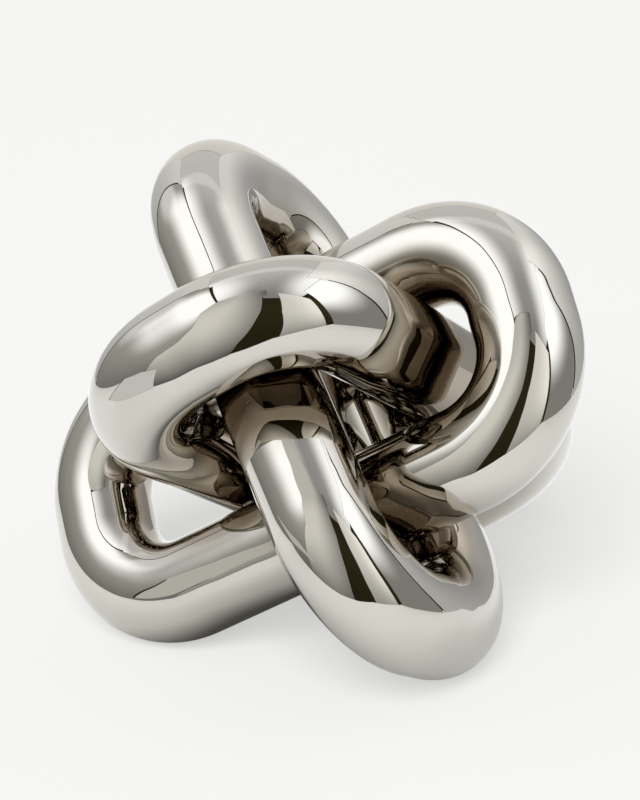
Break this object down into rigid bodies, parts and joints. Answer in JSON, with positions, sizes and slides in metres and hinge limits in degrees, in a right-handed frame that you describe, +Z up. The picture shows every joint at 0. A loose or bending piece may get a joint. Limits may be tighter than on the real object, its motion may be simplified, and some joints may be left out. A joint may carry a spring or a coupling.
{
  "type": "metal knot sculpture",
  "caption": "Tabletop knot of interlocked oblong rings of mirror-polished round steel tube, standing on its rounded ring ends.",
  "frame": {"origin": "floor level, under the middle of the whole knot's box", "axes": "+Z up, front of the knot towards -Y, +X to the right seen from the front"},
  "size_m": [0.1698, 0.164, 0.1494],
  "materials": {
    "polished_steel": "mirror-polished stainless steel tube, welds ground flush, faintly wavy reflections",
    "sleeve_steel": "plain drawn steel tube, hidden inside the rings",
    "weld_metal": "small tack welds between the tubes, lightly brushed"
  },
  "bodies": {
    "root": {"back_left_weld_1": "weld_metal", "back_left_weld_2": "weld_metal", "back_ring_foot_bend": "polished_steel", "back_ring_foot_lower_sleeve": "sleeve_steel", "back_ring_foot_upper_sleeve": "sleeve_steel", "back_ring_lower_tube": "polished_steel", "back_ring_top_bend": "polished_steel", "back_ring_top_lower_sleeve": "sleeve_steel", "back_ring_top_upper_sleeve": "sleeve_steel", "back_ring_upper_tube": "polished_steel", "left_right_weld_1": "weld_metal", "left_right_weld_2": "weld_metal", "left_ring_foot_bend": "polished_steel", "left_ring_foot_lower_sleeve": "sleeve_steel", "left_ring_foot_upper_sleeve": "sleeve_steel", "left_ring_lower_tube": "polished_steel", "left_ring_top_bend": "polished_steel", "left_ring_top_lower_sleeve": "sleeve_steel", "left_ring_top_upper_sleeve": "sleeve_steel", "left_ring_upper_tube": "polished_steel", "right_back_weld_1": "weld_metal", "right_back_weld_2": "weld_metal", "right_ring_foot_bend": "polished_steel", "right_ring_foot_lower_sleeve": "sleeve_steel", "right_ring_foot_upper_sleeve": "sleeve_steel", "right_ring_lower_tube": "polished_steel", "right_ring_top_bend": "polished_steel", "right_ring_top_lower_sleeve": "sleeve_steel", "right_ring_top_upper_sleeve": "sleeve_steel", "right_ring_upper_tube": "polished_steel"}
  },
  "joints": []
}
